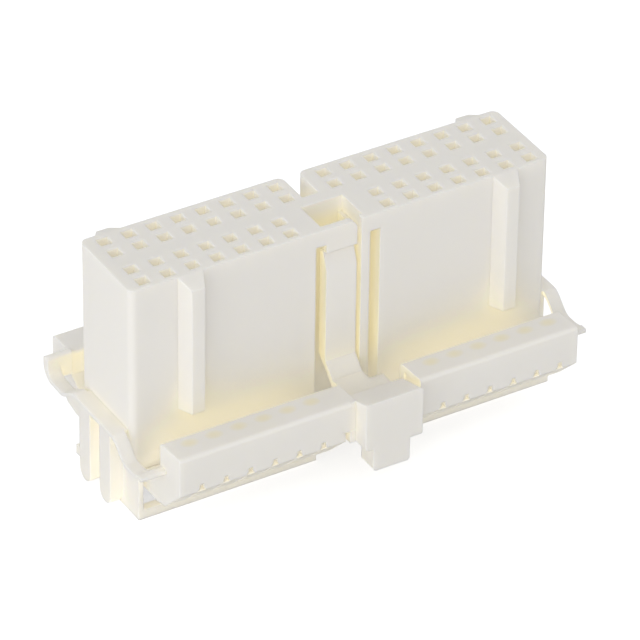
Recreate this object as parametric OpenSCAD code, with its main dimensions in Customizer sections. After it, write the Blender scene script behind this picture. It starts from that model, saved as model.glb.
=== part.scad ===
// Female housing of a wire to board connector, moulded in one piece.
// Sixty contact cavities stand in two blocks. Two retainer bars, one in front
// and one behind, hang on flexible straps that run along the end faces.
// The housing stands on its wire side, with the mating face up.

/* [Cavities] */
// Distance between two contacts along a row
pitch = 2.5; // [2.4:0.05:2.6]
// Distance from the middle to the inner pair of rows
inner_row_y = 1.5; // [1.4:0.05:1.6]
// Distance from the middle to the outer pair of rows
outer_row_y = 3.5; // [3.4:0.05:3.6]
// Side of the square contact hole in the mating face
hole_side = 1.1; // [0.8:0.05:1.2]
// Width of the bevel round each contact hole
bevel = 0.1; // [0.05:0.05:0.3]
// Width of a cavity along the row
cavity_w = 1.95; // [1.7:0.05:2.1]
// Width of a cavity across the row
cavity_d = 1.4; // [1.2:0.05:1.5]
// Thickness of the roof over the cavities
roof = 1.4; // [1:0.1:2]

/* [Blocks] */
// Length of the two blocks together
body_w = 43.4; // [43.2:0.1:44]
// Depth of the blocks
body_d = 9.3; // [9.2:0.1:9.8]
// Height of the housing
body_h = 24.1; // [23:0.1:26]
// Radius of the standing corners
corner_r = 0.7; // [0.3:0.1:0.9]
// Radius along the edges of the mating face
edge_r = 0.25; // [0.1:0.05:0.4]
// Width of the slot between the blocks
slot_w = 1.7; // [1.2:0.1:1.9]

/* [Keys] */
// Width of the outer face of a key rib
key_w = 1.3; // [1:0.1:1.6]
// Width of a key rib where it leaves the block
key_foot_w = 2.6; // [2:0.1:2.8]
// How far the front key ribs stand out
front_key_out = 1.5; // [0.8:0.1:1.6]
// How far the rear key ribs stand out
rear_key_out = 1.05; // [0.6:0.05:1.2]
// Height of the lower end of the key ribs
key_bottom = 9.9; // [9:0.1:12]

/* [Latch] */
// Width of the latch arm
arm_w = 3.15; // [2.9:0.05:3.2]
// Thickness of the latch arm
arm_t = 1.2; // [0.9:0.1:1.4]
// Width of the thumb pad
pad_w = 6.4; // [6:0.1:6.6]
// Width of the tongue under the thumb pad
tongue_w = 3.8; // [3:0.1:4.4]

/* [Retainers] */
// Length of a retainer bar
bar_w = 41.6; // [41:0.1:41.8]
// Depth of a retainer bar
bar_d = 3.6; // [3.4:0.1:3.8]
// Gap between a retainer bar and the blocks
bar_gap = 3.6; // [3.4:0.1:3.6]
// Width of the slits between the teeth
slit_w = 0.45; // [0.3:0.05:0.5]
// Width of the flexible straps
strap_w = 1.65; // [1.4:0.05:1.8]
// Thickness of the flexible straps
strap_t = 0.4; // [0.3:0.05:0.5]

/* [Hidden] */
$fn = 48;
tiny = 0.01;

half_w = body_w / 2;
half_d = body_d / 2;

// The contact grid: columns 0 to 16, set a little to the right of the middle
columns = 17;
grid_shift = 0.2;
outer_columns = [for (c = [0 : columns - 1]) if (c < 7 || c > 9) c];
inner_columns = [for (c = [0 : columns - 1]) if (c != 8) c];

function column_x(c) = (c - (columns - 1) / 2) * pitch + grid_shift;

// Front rows lose three columns to the latch, rear rows only the one at the slot
front_rows = [-outer_row_y, -inner_row_y];
rear_rows = [inner_row_y, outer_row_y];

// The slot and the web that joins the blocks
slot_x = -0.2;
slot_front = 0.85;
web_half_w = 4;

// The skirt under the cavities: the cell walls stop short of the foot, and a
// window runs under the front wall and the rear wall
grid_bottom = 1.1;
window_top = 4.5;
end_wall = 0.9;
front_wall = half_d - outer_row_y - cavity_d / 2;

// Keys: places along the housing, and the slopes of their ends
front_key_x = [-15.65, 16.95];
rear_key_x = [-18.8, 18.7];
front_key_drop = 0.85;
rear_key_drop = 0.4;

// The rails along the foot: the front ones are held by tall wings
rail_h = 0.95;
rail_t = 0.9;
rail_out = 1.25;
wing_t = 0.5;
wing_top = 5.6;
rail_end = 3.3;

// Ribs on the end faces, which carry the straps
end_rib_r = 0.98;
end_rib_out = 1.25;
end_rib_y = 1.88;

// Straps: they dip at the front and at the back, and stand off the corners of
// the blocks. At the back they turn up into a hook, and a tab leads to the bar.
strap_z = 8.5;
front_dip = 1.75;
front_dip_y = [3.9, 6.6];
front_rise = 0.35;
front_rise_y = [7.4, 9.4];
rear_dip_y = [2.9, 5.7];
strap_steps = 18;
strap_in = 0.35;
hook_c = [7.3, 8.8];
hook_r = 1.55;
hook_inner_r = 1.1;
hook_t = 0.85;
hook_top = 9.7;
hook_edge_r = 0.35;
tab_bottom = 7.1;

// Retainer bars
bar_in = half_d + bar_gap;
bar_out = bar_in + bar_d;
front_bar_top = [10.05, 9.8];
rear_bar_top = [9.2, 9.4];
bar_r = 0.35;
bar_foot = 6.1;
bar_shoulder = [9.15, 3.4];
bar_keel = [7.5, 3];
blade_out = 0.35;
blade_bottom = 3.15;
blade_top = 4.7;
slit_top = 7;
slit_core = [9, 10.2];
slit_skin = 0.6;
front_skin = 0.7;
notch_top = 6.75;
notch_w = 1.1;
notch_h = 0.3;
bar_inner_end = 4;
bridge_top = 7.2;
bridge_bottom = 6.2;
bridge_d = 2.4;

// Latch
arm_x0 = -1.7;
arm_x1 = arm_x0 + arm_w;
arm_front = -half_d;
arm_top = 21.3;
ramp_foot = 19.5;
plate_top = 8.4;
plate_t = 0.9;
plate_x1 = 2.8;
bend_r = 1.3;
fulcrum_z = [11.5, 13.5];
channel_x0 = -2.8;
channel_x1 = 3.85;
channel_back = -0.5;
post_x0 = 1.9;
post_x1 = 2.8;
cap_t = 1.7;
guard_t = 0.65;
guard_bottom = 21.5;
guard_r = 0.85;
recess_x0 = -2;
recess_x1 = 2.3;
pad_front = -13.65;
pad_back = -11.5;
pad_top = 10.75;
pad_bottom = 5.65;
pad_foot_r = 1;
pad_r = 0.35;
tongue_bottom = 3.2;

// A box between two opposite corners
module block(a, b) {
    translate(a) cube(b - a);
}

// Outlines in the Y-Z plane, drawn out along X
module along_x(x0, x1) {
    translate([x0, 0, 0]) rotate([90, 0, 90]) linear_extrude(x1 - x0) children();
}

// Outlines in the X-Z plane, drawn out along Y
module along_y(y0, y1) {
    translate([0, y1, 0]) rotate([90, 0, 0]) linear_extrude(y1 - y0) children();
}

// A rectangle between two opposite corners, with its corners rounded
module rounded(a, b, r) {
    translate([a.x + r, a.y]) square([b.x - a.x - 2 * r, b.y - a.y]);
    translate([a.x, a.y + r]) square([b.x - a.x, b.y - a.y - 2 * r]);
    for (x = [a.x + r, b.x - r], y = [a.y + r, b.y - r]) translate([x, y]) circle(r);
}

// The two blocks, joined by the web behind the latch
module blocks() {
    linear_extrude(body_h) {
        rounded([-half_w, -half_d], [slot_x - slot_w / 2, half_d], corner_r);
        rounded([slot_x + slot_w / 2, -half_d], [half_w, half_d], corner_r);
        translate([-web_half_w, -half_d]) square([2 * web_half_w, half_d + slot_front]);
    }
}

// Everything under the rounded edges of the mating face
module under_edges() {
    along_x(-half_w, half_w) rounded([-half_d, -2 * edge_r], [half_d, body_h], edge_r);
    along_y(-half_d, half_d) rounded([-half_w, -2 * edge_r], [half_w, body_h], edge_r);
}

// Square contact holes of one group of rows and columns, with bevelled mouths.
// Ridges along the rows cross ridges along the columns, which leaves pyramids.
module contact_mouths(rows, cols) {
    half = hole_side / 2;
    mouth = [[-half - bevel, body_h + tiny], [-half, body_h - bevel], [-half, body_h - roof - tiny],
             [half, body_h - roof - tiny], [half, body_h - bevel], [half + bevel, body_h + tiny]];
    intersection() {
        for (y = rows) translate([0, y, 0]) along_x(-half_w, half_w) polygon(mouth);
        for (c = cols) translate([column_x(c), 0, 0]) along_y(-half_d, half_d) polygon(mouth);
    }
}

// The wide part of the cavities, open to the wire side
module cavities(rows, cols) {
    for (y = rows, c = cols)
        translate([column_x(c) - cavity_w / 2, y - cavity_d / 2, -tiny])
            cube([cavity_w, cavity_d, body_h - roof + tiny]);
}

// The open skirt, and the windows where the retainers' blades go in
module skirt() {
    inner = half_w - end_wall;
    block([-inner, -half_d - tiny, -tiny], [inner, half_d + tiny, grid_bottom]);
    for (side = [-1, 1]) mirror([0, side < 0 ? 1 : 0, 0])
        block([-inner, half_d - front_wall - tiny, grid_bottom - tiny], [inner, half_d + tiny, window_top]);
}

// The channel that the latch arm stands in, open at the front, with a recess
// in the mating face over the tip of the arm
module latch_channel() {
    block([channel_x0, -half_d - tiny, -tiny], [channel_x1, channel_back, body_h - cap_t]);
    block([recess_x0, -half_d + guard_t, body_h - cap_t - tiny], [recess_x1, channel_back, body_h + tiny]);
    block([arm_x0, -half_d - tiny, body_h - cap_t - tiny], [post_x0, channel_back, body_h + tiny]);
}

// The guard bar in front of the tip of the latch arm: it springs from the left
// side and ends free, with one round corner
module guard_bar() {
    along_y(-half_d, -half_d + guard_t) {
        translate([arm_x0 - tiny, guard_bottom]) square([arm_w + tiny, body_h - guard_r - guard_bottom]);
        translate([arm_x0 - tiny, guard_bottom]) square([arm_w - guard_r, body_h - guard_bottom]);
        translate([arm_x1 - guard_r, body_h - guard_r]) circle(guard_r);
    }
}

// The partition beside the arm
module post() {
    block([post_x0, -half_d, window_top], [post_x1, channel_back + tiny, body_h - cap_t + tiny]);
}

// A key rib, dovetailed in plan, with a top that slopes outwards
module key_rib(out, drop) {
    root = half_d - edge_r;
    tip = half_d + out;
    intersection() {
        translate([0, 0, key_bottom]) linear_extrude(body_h - key_bottom)
            polygon([[-key_foot_w / 2, root], [-key_foot_w / 2, half_d], [-key_w / 2, tip],
                     [key_w / 2, tip], [key_foot_w / 2, half_d], [key_foot_w / 2, root]]);
        along_x(-key_foot_w / 2, key_foot_w / 2)
            polygon([[root, body_h], [half_d, body_h - tiny], [tip, body_h - drop], [tip, key_bottom],
                     [root, key_bottom]]);
    }
}

module key_ribs() {
    for (x = front_key_x) translate([x, 0, 0]) mirror([0, 1, 0]) key_rib(front_key_out, front_key_drop);
    for (x = rear_key_x) translate([x, 0, 0]) key_rib(rear_key_out, rear_key_drop);
}

// Thin rails along the foot of one side, held by wings of the given height
module foot_rails(top) {
    reach = half_d + rail_out;
    root = half_d - corner_r - tiny;
    for (end = [-1, 1]) mirror([end < 0 ? 1 : 0, 0, 0]) {
        block([rail_end, reach - rail_t, 0], [half_w, reach, rail_h]);
        for (x = [half_w - wing_t, rail_end]) along_x(x, x + wing_t)
            polygon([[root, 0], [reach, 0], [reach, max(rail_h, top - rail_out)], [half_d, top], [root, top]]);
    }
}

// Ribs with round feet on the end faces
module end_ribs() {
    for (end = [-1, 1], y = [-end_rib_y, end_rib_y]) mirror([end < 0 ? 1 : 0, 0, 0]) {
        block([half_w - tiny, y - end_rib_r, end_rib_r], [half_w + end_rib_out, y + end_rib_r, strap_z]);
        translate([half_w - tiny, y, end_rib_r]) rotate([0, 90, 0])
            cylinder(h = end_rib_out + tiny, r = end_rib_r);
    }
}

// Height of a strap at the place y, from smooth steps between two places
function step(y, from_to) = (1 - cos(180 * min(1, max(0, (y - from_to[0]) / (from_to[1] - from_to[0]))))) / 2;
function front_height(y) = strap_z - front_dip * step(-y, front_dip_y) + front_rise * step(-y, front_rise_y);
function rear_height(y) = strap_z - (strap_z - hook_c[1] + hook_r) * step(y, rear_dip_y);
strap_front = [for (i = [0 : strap_steps])
    let (y = -front_rise_y[1] + (front_rise_y[1] - front_dip_y[0]) * i / strap_steps) [y, front_height(y)]];
strap_rear = [for (i = [0 : strap_steps])
    let (y = rear_dip_y[0] + (hook_c[0] + tiny - rear_dip_y[0]) * i / strap_steps) [y, rear_height(y)]];

module straps() {
    lower = concat(strap_front, strap_rear);
    upper = [for (i = [len(lower) - 1 : -1 : 0]) lower[i] + [0, strap_t]];
    low = front_height(-front_rise_y[1]);
    hook_y = hook_c[0] + hook_r;
    inner_c = [hook_y - hook_t - hook_inner_r, hook_c[1] - hook_r + strap_t + hook_inner_r];
    for (end = [-1, 1]) mirror([end < 0 ? 1 : 0, 0, 0]) {
        block([half_w - tiny, -half_d + corner_r, strap_z],
              [half_w + strap_in + tiny, rear_dip_y[0], strap_z + strap_t]);
        along_x(half_w + strap_in, half_w + strap_w) {
            polygon(concat(lower, upper));
            intersection() {
                translate([inner_c[0], hook_c[1] - hook_r]) square([hook_y - inner_c[0], hook_r]);
                difference() {
                    translate(hook_c) circle(hook_r);
                    translate(inner_c) circle(hook_inner_r);
                }
            }
            rounded([hook_y - hook_t, hook_c[1] - hook_edge_r], [hook_y, hook_top], hook_edge_r);
        }
        along_x(bar_w / 2 - tiny, half_w + strap_in + tiny)
            rounded([hook_y - hook_t, tab_bottom], [hook_y, hook_top], hook_edge_r);
        block([bar_w / 2 - tiny, -front_rise_y[1], low], [half_w + strap_w, -bar_in - strap_t, low + strap_t]);
    }
}

// A slit between two teeth: it rises highest in the core of the bar, and at the
// outer face only a short notch with a flared foot shows
module slit(core_top) {
    block([-slit_w / 2, half_d, 0], [slit_w / 2, bar_out - front_skin, slit_top]);
    block([-slit_w / 2, slit_core[0], slit_top - tiny], [slit_w / 2, slit_core[1], core_top]);
    along_y(bar_out - front_skin - tiny, bar_out + tiny)
        polygon([[-notch_w / 2, bar_foot - notch_h], [notch_w / 2, bar_foot - notch_h],
                 [slit_w / 2, bar_foot + notch_h], [slit_w / 2, notch_top],
                 [-slit_w / 2, notch_top], [-slit_w / 2, bar_foot + notch_h]]);
}

// One retainer bar: a wedge with a blade towards the window, slit into teeth.
// Its top has an outer and an inner height.
module retainer_bar(top) {
    tip = half_d + blade_out;
    difference() {
        along_x(-bar_w / 2, bar_w / 2) {
            polygon([[bar_out, top[0] - bar_r], [bar_out, bar_foot], bar_shoulder, bar_keel,
                     [tip, blade_bottom], [tip, blade_top], [bar_in, slit_top],
                     [bar_in, top[1] - bar_r], [bar_in + bar_r, top[1]], [bar_out - bar_r, top[0]]]);
            translate([bar_out - bar_r, top[0] - bar_r]) circle(bar_r);
            translate([bar_in + bar_r, top[1] - bar_r]) circle(bar_r);
        }
        block([-bar_inner_end, half_d, 0], [bar_inner_end, bar_out + tiny, body_h]);
        for (c = [1 : columns - 1])
            translate([column_x(c) - pitch / 2, 0, 0]) slit(min(top[0], top[1]) - slit_skin);
    }
    block([-bar_inner_end - tiny, bar_out - front_skin - bridge_d, bridge_bottom],
          [bar_inner_end + tiny, bar_out - front_skin, bridge_top]);
}

// The latch arm: it rocks on a fulcrum in the channel, bends forward over the
// retainer's bridge and ends in the thumb pad
module latch() {
    under = plate_top - plate_t;
    along_x(arm_x0, arm_x1)
        polygon([[arm_front, ramp_foot], [arm_front, plate_top + bend_r],
                 [arm_front - bend_r, plate_top], [pad_back, plate_top], [pad_back, under],
                 [arm_front - bend_r, under], [arm_front + arm_t, under + bend_r + arm_t],
                 [arm_front + arm_t, arm_top], [arm_front + guard_t, arm_top]]);
    block([-plate_x1, pad_back, under], [plate_x1, arm_front - 2 * bend_r, plate_top]);
    block([0, arm_front + arm_t - tiny, fulcrum_z[0]], [arm_x1, channel_back + tiny, fulcrum_z[1]]);
    along_y(pad_front, pad_back) {
        rounded([-pad_w / 2, pad_bottom], [pad_w / 2, pad_top - pad_r], pad_foot_r);
        rounded([-pad_w / 2, pad_bottom + pad_foot_r], [pad_w / 2, pad_top], pad_r);
        rounded([-tongue_w / 2, tongue_bottom], [tongue_w / 2, pad_bottom + pad_foot_r], pad_r);
    }
}

// The middle of the footprint is on the origin
module housing() color([0.94, 0.92, 0.86]) translate([0, (-pad_front - bar_out) / 2, 0]) {
    difference() {
        intersection() {
            blocks();
            under_edges();
        }
        contact_mouths(front_rows, outer_columns);
        contact_mouths(rear_rows, inner_columns);
        cavities(front_rows, outer_columns);
        cavities(rear_rows, inner_columns);
        skirt();
        latch_channel();
    }
    guard_bar();
    post();
    key_ribs();
    mirror([0, 1, 0]) foot_rails(wing_top);
    foot_rails(rail_h);
    end_ribs();
    straps();
    mirror([0, 1, 0]) retainer_bar(front_bar_top);
    retainer_bar(rear_bar_top);
    latch();
}

housing();
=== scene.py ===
import math
import bmesh
import bpy
from mathutils import Matrix, Vector


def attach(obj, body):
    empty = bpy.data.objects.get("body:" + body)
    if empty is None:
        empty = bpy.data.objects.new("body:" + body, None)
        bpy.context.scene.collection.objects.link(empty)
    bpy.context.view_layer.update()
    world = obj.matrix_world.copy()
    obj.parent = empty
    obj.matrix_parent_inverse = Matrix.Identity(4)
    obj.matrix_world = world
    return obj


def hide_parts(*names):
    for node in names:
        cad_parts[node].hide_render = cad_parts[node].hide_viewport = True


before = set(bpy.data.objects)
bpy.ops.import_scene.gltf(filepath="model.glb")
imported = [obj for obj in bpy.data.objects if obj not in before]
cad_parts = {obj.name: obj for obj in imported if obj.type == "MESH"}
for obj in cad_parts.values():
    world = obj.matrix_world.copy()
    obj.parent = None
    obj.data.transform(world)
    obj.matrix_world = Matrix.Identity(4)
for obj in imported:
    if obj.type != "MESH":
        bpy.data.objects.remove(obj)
scene = bpy.context.scene
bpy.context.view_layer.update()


# The camera looks down on the mating face from the front left through a long
# lens, so that the edges of the housing stay almost parallel.
MM = 0.001
CAMERA_AZIMUTH = math.radians(-30.94)
CAMERA_ELEVATION = math.radians(35.07)
CAMERA_ROLL = math.radians(0.8)
CAMERA_DISTANCE = 490.13 * MM
CAMERA_TARGET = Vector((-0.213, -0.232, 11.61)) * MM
CAMERA_LENS_MM = 304.04
CAMERA_SENSOR_MM = 36

camera_data = bpy.data.cameras.new("camera")
camera_data.lens = CAMERA_LENS_MM
camera_data.sensor_width = CAMERA_SENSOR_MM
camera_data.clip_start = 10 * MM
camera_data.clip_end = 10
camera = bpy.data.objects.new("camera", camera_data)
turn = (Matrix.Rotation(CAMERA_AZIMUTH, 4, "Z")
        @ Matrix.Rotation(math.pi / 2 - CAMERA_ELEVATION, 4, "X")
        @ Matrix.Rotation(CAMERA_ROLL, 4, "Z"))
camera.matrix_world = Matrix.Translation(CAMERA_TARGET) @ turn @ Matrix.Translation((0, 0, CAMERA_DISTANCE))
scene.collection.objects.link(camera)
scene.camera = camera
scene.view_settings.view_transform = "Standard"


# The bench is a pale seamless sheet. It lights the housing from below, and the
# camera sees it as white wherever no shadow falls on it.
FLOOR_HALF = 1.5
FLOOR_GREY = 0.8
FLOOR_GLOW = 0.62


def make_floor():
    mesh = bpy.data.meshes.new("bench_sheet")
    corners = [(-FLOOR_HALF, -FLOOR_HALF, 0), (FLOOR_HALF, -FLOOR_HALF, 0),
               (FLOOR_HALF, FLOOR_HALF, 0), (-FLOOR_HALF, FLOOR_HALF, 0)]
    mesh.from_pydata(corners, [], [(0, 1, 2, 3)])
    floor = bpy.data.objects.new("bench_sheet", mesh)
    scene.collection.objects.link(floor)
    return floor


def make_floor_material():
    material = bpy.data.materials.new("bench_paper")
    material.use_nodes = True
    tree = material.node_tree
    tree.nodes.clear()
    output = tree.nodes.new("ShaderNodeOutputMaterial")
    paper = tree.nodes.new("ShaderNodeBsdfDiffuse")
    paper.inputs["Color"].default_value = (FLOOR_GREY, FLOOR_GREY, FLOOR_GREY, 1)
    glow = tree.nodes.new("ShaderNodeEmission")
    glow.inputs["Strength"].default_value = FLOOR_GLOW
    both = tree.nodes.new("ShaderNodeAddShader")
    seen = tree.nodes.new("ShaderNodeMixShader")
    path = tree.nodes.new("ShaderNodeLightPath")
    tree.links.new(paper.outputs["BSDF"], both.inputs[0])
    tree.links.new(glow.outputs["Emission"], both.inputs[1])
    tree.links.new(path.outputs["Is Camera Ray"], seen.inputs["Fac"])
    tree.links.new(paper.outputs["BSDF"], seen.inputs[1])
    tree.links.new(both.outputs["Shader"], seen.inputs[2])
    tree.links.new(seen.outputs["Shader"], output.inputs["Surface"])
    return material


floor = make_floor()
floor.data.materials.append(make_floor_material())


# The light is soft and comes from all round, a little more from the sides than
# from above, with two broad lamps: one at the front left, one low on the left.
WORLD_SIDE = 1.05
WORLD_TOP = 0.75
LAMPS = [
    ("key", 0.5, 1.2, Vector((-0.5, -0.55, 0.35))),
    ("fill", 0.4, 0.9, Vector((-0.7, -0.15, 0.12))),
]

world = bpy.data.worlds.new("studio")
scene.world = world
world.use_nodes = True
sky = world.node_tree
sky.nodes.clear()
sky_output = sky.nodes.new("ShaderNodeOutputWorld")
place = sky.nodes.new("ShaderNodeTexCoord")
split = sky.nodes.new("ShaderNodeSeparateXYZ")
height = sky.nodes.new("ShaderNodeMapRange")
height.inputs["To Min"].default_value = WORLD_SIDE
height.inputs["To Max"].default_value = WORLD_TOP
light_sky = sky.nodes.new("ShaderNodeBackground")
seen_sky = sky.nodes.new("ShaderNodeBackground")
sky_path = sky.nodes.new("ShaderNodeLightPath")
sky_mix = sky.nodes.new("ShaderNodeMixShader")
sky.links.new(place.outputs["Generated"], split.inputs["Vector"])
sky.links.new(split.outputs["Z"], height.inputs["Value"])
sky.links.new(height.outputs["Result"], light_sky.inputs["Strength"])
sky.links.new(sky_path.outputs["Is Camera Ray"], sky_mix.inputs["Fac"])
sky.links.new(light_sky.outputs["Background"], sky_mix.inputs[1])
sky.links.new(seen_sky.outputs["Background"], sky_mix.inputs[2])
sky.links.new(sky_mix.outputs["Shader"], sky_output.inputs["Surface"])

for name, size, watts, stand in LAMPS:
    lamp_data = bpy.data.lights.new(name, "AREA")
    lamp_data.size = size
    lamp_data.energy = watts
    lamp = bpy.data.objects.new(name, lamp_data)
    lamp.matrix_world = Matrix.Translation(stand) @ (-stand).to_track_quat("-Z", "Y").to_matrix().to_4x4()
    scene.collection.objects.link(lamp)


# The housing is one injection moulding in natural nylon. Its copy here is joined
# better at the middle: the left front bar runs on to the latch's pad, which has a
# square lower corner and a top that falls away to the latch's plate.
WELD_GAP = 0.002 * MM
SMOOTH_ANGLE = math.radians(20)

# Places along Y and heights of the front bar, in the part's millimetres.
BAR_FRONT = -10.95
BAR_BACK = -7.35
BAR_TOP_FRONT = 10.05
BAR_TOP_BACK = 9.8
BAR_ROUND = 0.35
SLIT_TOP = 7.0
OVERLAP = 0.05


def arc(centre, radius, start, end, steps):
    turns = [math.radians(start + (end - start) * i / steps) for i in range(steps + 1)]
    return [(centre[0] + radius * math.cos(turn), centre[1] + radius * math.sin(turn)) for turn in turns]


BAR_END = ([(BAR_FRONT, SLIT_TOP)]
           + arc((BAR_FRONT + BAR_ROUND, BAR_TOP_FRONT - BAR_ROUND), BAR_ROUND, 180, 90, 2)
           + arc((BAR_BACK - BAR_ROUND, BAR_TOP_BACK - BAR_ROUND), BAR_ROUND, 90, 0, 2)
           + [(BAR_BACK, SLIT_TOP)])
LAST_TOOTH = [(BAR_FRONT, SLIT_TOP + OVERLAP), (BAR_FRONT, 6.1), (-8.25, 3.4), (-6.6, 3.0),
              (-4.1, 3.15), (-4.1, 4.7), (BAR_BACK, SLIT_TOP)]
PAD_ROOT = [(BAR_FRONT - OVERLAP, SLIT_TOP + OVERLAP), (BAR_FRONT - OVERLAP, 5.75),
            (-9.2, 5.75), (-9.2, SLIT_TOP + OVERLAP)]
PLATE_FILLET = [(2.45, -6.45)] + arc((2.45, -5.35), 1.0, 270, 180, 4) + [(1.35, -6.45)]
PAD_EDGE = [(-3.3, 4.9), (-2.75, 4.9), (-2.75, 11), (-3.3, 11)]
CHANGES = [
    ("DIFFERENCE", PAD_EDGE, "Y", -12.85, BAR_FRONT + OVERLAP),
    ("UNION", BAR_END, "X", -4.1, -2.6),
    ("UNION", LAST_TOOTH, "X", -4.1, -3.78),
    ("UNION", PAD_ROOT, "X", -3.33, -2.6),
    ("UNION", PLATE_FILLET, "Z", 7.52, 8.39),
]

# The faces round the joint stay flat-shaded, as the changes leave long thin ones.
FLAT_HALF = 4.3
FLAT_BACK = -7.3


def prism(outline, axis, low, high):
    work = bmesh.new()
    rings = []
    for depth in (low, high):
        points = [{"X": (depth, p, q), "Y": (p, depth, q), "Z": (p, q, depth)}[axis] for p, q in outline]
        rings.append([work.verts.new(Vector(point) * MM) for point in points])
    for i in range(len(outline)):
        j = (i + 1) % len(outline)
        work.faces.new((rings[0][i], rings[0][j], rings[1][j], rings[1][i]))
    for ring in rings:
        work.faces.new(ring)
    bmesh.ops.recalc_face_normals(work, faces=work.faces)
    mesh = bpy.data.meshes.new("prism")
    work.to_mesh(mesh)
    work.free()
    shape = bpy.data.objects.new("prism", mesh)
    scene.collection.objects.link(shape)
    return shape


# The pad's lower right corner goes from the round one of the solid to a small one,
# and the top edge of its back moves down and back, towards the latch's plate.
PAD_BACK = -10.6
PAD_HALF = 3.2
PAD_TOP = 10.75
PAD_BOTTOM = 5.65
CORNER_AS_MADE = 1.0
CORNER_SHARP = 0.2
PLATE_TOP = 8.4
BACK_SHIFT = 1.3
BACK_DROP = 1.1
NEAR = 0.05
TOUCHING = 0.01


def reshape_pad(mesh):
    old = Vector((PAD_HALF - CORNER_AS_MADE, PAD_BOTTOM + CORNER_AS_MADE))
    new = Vector((PAD_HALF - CORNER_SHARP, PAD_BOTTOM + CORNER_SHARP))
    for vert in mesh.vertices:
        place = vert.co / MM
        if place.y > PAD_BACK + 2 * NEAR or abs(place.x) > PAD_HALF + NEAR or place.z > PAD_TOP + NEAR:
            continue
        if place.x > old.x - TOUCHING and PAD_BOTTOM - NEAR < place.z < old.y + TOUCHING:
            spot = new + CORNER_SHARP * (Vector((place.x, place.z)) - old).normalized()
            vert.co.x = spot.x * MM
            vert.co.z = spot.y * MM
        if place.y > PAD_BACK - 2 * TOUCHING and place.z > PLATE_TOP - NEAR:
            vert.co.y += BACK_SHIFT * MM
            vert.co.z -= BACK_DROP * MM * max(0, place.z - PLATE_TOP) / (PAD_TOP - PLATE_TOP)


def weld(mesh):
    work = bmesh.new()
    work.from_mesh(mesh)
    bmesh.ops.remove_doubles(work, verts=work.verts, dist=WELD_GAP)
    bmesh.ops.dissolve_degenerate(work, edges=work.edges, dist=WELD_GAP)
    for face in work.faces:
        middle = face.calc_center_median() / MM
        face.smooth = not (abs(middle.x) < FLAT_HALF and middle.y < FLAT_BACK)
    for edge in work.edges:
        edge.smooth = edge.calc_face_angle(0) < SMOOTH_ANGLE
    work.to_mesh(mesh)
    work.free()


def moulding_from(node_name):
    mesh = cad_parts[node_name].data.copy()
    mesh.materials.clear()
    weld(mesh)
    reshape_pad(mesh)
    moulding = bpy.data.objects.new("moulding", mesh)
    scene.collection.objects.link(moulding)
    for operation, outline, axis, low, high in CHANGES:
        shape = prism(outline, axis, low, high)
        change = moulding.modifiers.new("change", "BOOLEAN")
        change.operation = operation
        change.solver = "EXACT"
        change.object = shape
        bpy.context.view_layer.update()
        graph = bpy.context.evaluated_depsgraph_get()
        changed = bpy.data.meshes.new_from_object(moulding.evaluated_get(graph))
        moulding.modifiers.clear()
        moulding.data = changed
        bpy.data.objects.remove(shape)
    weld(moulding.data)
    moulding.data.name = "moulding"
    return moulding


# The plastic looks warmer and lighter where it is hidden, as light comes through its
# thin walls there; this is painted light, a warm tint in the base colour and a glow.
# Low down and at the mating face this is paler. The glow is painted on, and only the camera sees it.
EDGE_RADIUS = 0.14 * MM
HID_NONE = 0.75
HID_ALL = 0.05
GLOW_REACH = 9 * MM
GLOW_POWER = 1.5
GLOW_HIGH = 20.0 * MM
GLOW_LAST = 23.2 * MM
GLOW_TOP = 0.9
PALE_LOW = 5.0 * MM
PALE_LAST = 9.5 * MM
PALE_HIGH = 22.0 * MM
# The deep and pale colours below are painted light, mixed into the base colour where the plastic is hidden,
# and the two glows are a painted glow; the open colour is the nylon's own.
OPEN_COLOUR = (0.925, 0.89, 0.84, 1)
DEEP_PAINTED_LIGHT = (0.94, 0.89, 0.72, 1)
PALE_PAINTED_LIGHT = (0.93, 0.89, 0.80, 1)
# The spot colour is painted light over the slits.
SLIT_PAINTED_GLOW = (0.93, 0.86, 0.68, 1)
GLOW_COLOUR = (0.52, 0.43, 0.23, 1)
PALE_GLOW = (0.46, 0.41, 0.30, 1)


# Painted light for hidden places: a warm base colour and a glow, stronger where ambient occlusion finds the
# surface hidden, paler low down and at the mating face.
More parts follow.
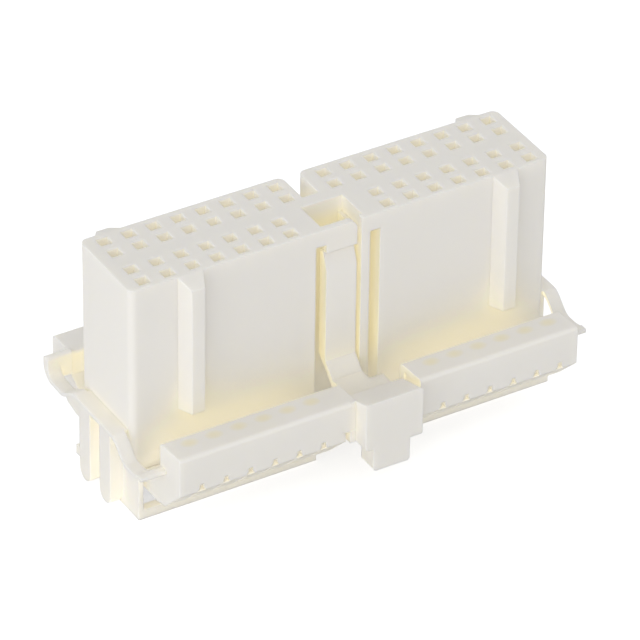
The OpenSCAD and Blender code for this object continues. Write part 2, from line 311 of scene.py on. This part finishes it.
def make_hidden_painted_light():
    group = bpy.data.node_groups.new("hidden_painted_light", "ShaderNodeTree")
    group.interface.new_socket("Reach", in_out="INPUT", socket_type="NodeSocketFloat")
    for name in ("Open Color", "Deep Painted Light", "Pale Painted Light", "Glow Color", "Pale Glow"):
        group.interface.new_socket(name, in_out="INPUT", socket_type="NodeSocketColor")
    for name in ("Color", "Glow"):
        group.interface.new_socket(name, in_out="OUTPUT", socket_type="NodeSocketColor")
    given = group.nodes.new("NodeGroupInput")
    result = group.nodes.new("NodeGroupOutput")
    near = group.nodes.new("ShaderNodeAmbientOcclusion")
    near.samples = 8
    group.links.new(given.outputs["Reach"], near.inputs["Distance"])
    hid = group.nodes.new("ShaderNodeMapRange")
    hid.interpolation_type = "SMOOTHSTEP"
    hid.inputs["From Min"].default_value = HID_NONE
    hid.inputs["From Max"].default_value = HID_ALL
    group.links.new(near.outputs["AO"], hid.inputs["Value"])
    place = group.nodes.new("ShaderNodeTexCoord")
    split = group.nodes.new("ShaderNodeSeparateXYZ")
    group.links.new(place.outputs["Object"], split.inputs["Vector"])
    rise = group.nodes.new("ShaderNodeMapRange")
    rise.inputs["From Min"].default_value = PALE_LOW
    rise.inputs["From Max"].default_value = PALE_LAST
    group.links.new(split.outputs["Z"], rise.inputs["Value"])
    sink = group.nodes.new("ShaderNodeMapRange")
    sink.inputs["From Min"].default_value = GLOW_LAST
    sink.inputs["From Max"].default_value = PALE_HIGH
    group.links.new(split.outputs["Z"], sink.inputs["Value"])
    middle = group.nodes.new("ShaderNodeMath")
    middle.operation = "MULTIPLY"
    group.links.new(rise.outputs["Result"], middle.inputs[0])
    group.links.new(sink.outputs["Result"], middle.inputs[1])
    hidden_painted_colour = group.nodes.new("ShaderNodeMix")
    hidden_glow = group.nodes.new("ShaderNodeMix")
    for mix, pale, full in ((hidden_painted_colour, "Pale Painted Light", "Deep Painted Light"),
                            (hidden_glow, "Pale Glow", "Glow Color")):
        mix.data_type = "RGBA"
        group.links.new(middle.outputs["Value"], mix.inputs["Factor"])
        group.links.new(given.outputs[pale], mix.inputs["A"])
        group.links.new(given.outputs[full], mix.inputs["B"])
    tint = group.nodes.new("ShaderNodeMix")
    tint.data_type = "RGBA"
    group.links.new(hid.outputs["Result"], tint.inputs["Factor"])
    group.links.new(given.outputs["Open Color"], tint.inputs["A"])
    group.links.new(hidden_painted_colour.outputs["Result"], tint.inputs["B"])
    group.links.new(tint.outputs["Result"], result.inputs["Color"])
    fade = group.nodes.new("ShaderNodeMapRange")
    fade.inputs["From Min"].default_value = GLOW_HIGH
    fade.inputs["From Max"].default_value = GLOW_LAST
    fade.inputs["To Min"].default_value = 1.0
    fade.inputs["To Max"].default_value = GLOW_TOP
    group.links.new(split.outputs["Z"], fade.inputs["Value"])
    power = group.nodes.new("ShaderNodeMath")
    power.operation = "POWER"
    power.inputs[1].default_value = GLOW_POWER
    group.links.new(hid.outputs["Result"], power.inputs[0])
    share = group.nodes.new("ShaderNodeMath")
    share.operation = "MULTIPLY"
    group.links.new(power.outputs["Value"], share.inputs[0])
    group.links.new(fade.outputs["Result"], share.inputs[1])
    glow = group.nodes.new("ShaderNodeMix")
    glow.data_type = "RGBA"
    glow.inputs["A"].default_value = (0, 0, 0, 1)
    group.links.new(share.outputs["Value"], glow.inputs["Factor"])
    group.links.new(hidden_glow.outputs["Result"], glow.inputs["B"])
    group.links.new(glow.outputs["Result"], result.inputs["Glow"])
    return group


# Warm soft spots of painted light lie on the tops of the front bars, over the slits between
# the teeth, where light comes through the thin plastic over the slits. The slits at the ends of the bars
# have none.
SPOT_PITCH = 2.5 * MM
SPOT_FIRST_X = -21.05 * MM
SPOT_ROW_Y = -8.7 * MM
SPOT_HALF_X = 0.95 * MM
SPOT_HALF_Y = 0.75 * MM
SPOT_X = (5.3 * MM, 20.0 * MM)
SPOT_Z = (9.3 * MM, 10.3 * MM)


def make_painted_slit_glow():
    group = bpy.data.node_groups.new("painted_slit_glow", "ShaderNodeTree")
    group.interface.new_socket("First X", in_out="INPUT", socket_type="NodeSocketFloat")
    group.interface.new_socket("Mask", in_out="OUTPUT", socket_type="NodeSocketFloat")
    given = group.nodes.new("NodeGroupInput")
    result = group.nodes.new("NodeGroupOutput")
    place = group.nodes.new("ShaderNodeTexCoord")
    split = group.nodes.new("ShaderNodeSeparateXYZ")
    group.links.new(place.outputs["Object"], split.inputs["Vector"])

    def step(operation, first, second=None):
        node = group.nodes.new("ShaderNodeMath")
        node.operation = operation
        for socket, value in zip(node.inputs, (first, second)):
            if isinstance(value, (int, float)):
                socket.default_value = value
            elif value is not None:
                group.links.new(value, socket)
        return node.outputs["Value"]

    across = step("PINGPONG", step("SUBTRACT", split.outputs["X"], given.outputs["First X"]), SPOT_PITCH / 2)
    along = step("SUBTRACT", split.outputs["Y"], SPOT_ROW_Y)
    far = step("ADD", step("POWER", step("DIVIDE", across, SPOT_HALF_X), 2),
               step("POWER", step("ABSOLUTE", step("DIVIDE", along, SPOT_HALF_Y)), 2))
    mask = step("MAXIMUM", step("SUBTRACT", 1, far), 0)
    side = step("ABSOLUTE", split.outputs["X"])
    for value, (low, high) in ((side, SPOT_X), (split.outputs["Z"], SPOT_Z)):
        mask = step("MULTIPLY", mask, step("GREATER_THAN", value, low))
        mask = step("MULTIPLY", mask, step("LESS_THAN", value, high))
    group.links.new(mask, result.inputs["Mask"])
    return group


def make_nylon():
    material = bpy.data.materials.new("natural_nylon")
    material.use_nodes = True
    tree = material.node_tree
    tree.nodes.clear()
    output = tree.nodes.new("ShaderNodeOutputMaterial")
    nylon = tree.nodes.new("ShaderNodeBsdfPrincipled")
    nylon.inputs["Roughness"].default_value = 0.42
    nylon.inputs["IOR"].default_value = 1.53
    nylon.inputs["Subsurface Weight"].default_value = 1.0
    nylon.inputs["Subsurface Radius"].default_value = (1.0, 1.0, 0.9)
    nylon.inputs["Subsurface Scale"].default_value = 0.4 * MM
    nylon.inputs["Emission Strength"].default_value = 1.0
    # This group paints the light of hidden places into the base colour and the emission.
    depth = tree.nodes.new("ShaderNodeGroup")
    depth.node_tree = make_hidden_painted_light()
    depth.inputs["Reach"].default_value = GLOW_REACH
    depth.inputs["Open Color"].default_value = OPEN_COLOUR
    depth.inputs["Deep Painted Light"].default_value = DEEP_PAINTED_LIGHT
    depth.inputs["Pale Painted Light"].default_value = PALE_PAINTED_LIGHT
    depth.inputs["Glow Color"].default_value = GLOW_COLOUR
    depth.inputs["Pale Glow"].default_value = PALE_GLOW
    spots = tree.nodes.new("ShaderNodeGroup")
    spots.node_tree = make_painted_slit_glow()
    spots.inputs["First X"].default_value = SPOT_FIRST_X
    # Painted light: the warm spots over the slits are mixed into the base colour.
    warm = tree.nodes.new("ShaderNodeMix")
    warm.data_type = "RGBA"
    warm.inputs["B"].default_value = SLIT_PAINTED_GLOW
    tree.links.new(spots.outputs["Mask"], warm.inputs["Factor"])
    tree.links.new(depth.outputs["Color"], warm.inputs["A"])
    tree.links.new(warm.outputs["Result"], nylon.inputs["Base Color"])
    path = tree.nodes.new("ShaderNodeLightPath")
    seen = tree.nodes.new("ShaderNodeMix")
    seen.data_type = "RGBA"
    seen.inputs["A"].default_value = (0, 0, 0, 1)
    tree.links.new(path.outputs["Is Camera Ray"], seen.inputs["Factor"])
    tree.links.new(depth.outputs["Glow"], seen.inputs["B"])
    tree.links.new(seen.outputs["Result"], nylon.inputs["Emission Color"])
    edges = tree.nodes.new("ShaderNodeBevel")
    edges.samples = 6
    edges.inputs["Radius"].default_value = EDGE_RADIUS
    tree.links.new(edges.outputs["Normal"], nylon.inputs["Normal"])
    tree.links.new(nylon.outputs["BSDF"], output.inputs["Surface"])
    return material


moulding = moulding_from("housing")
moulding.data.materials.append(make_nylon())
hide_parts("housing")
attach(moulding, "root")
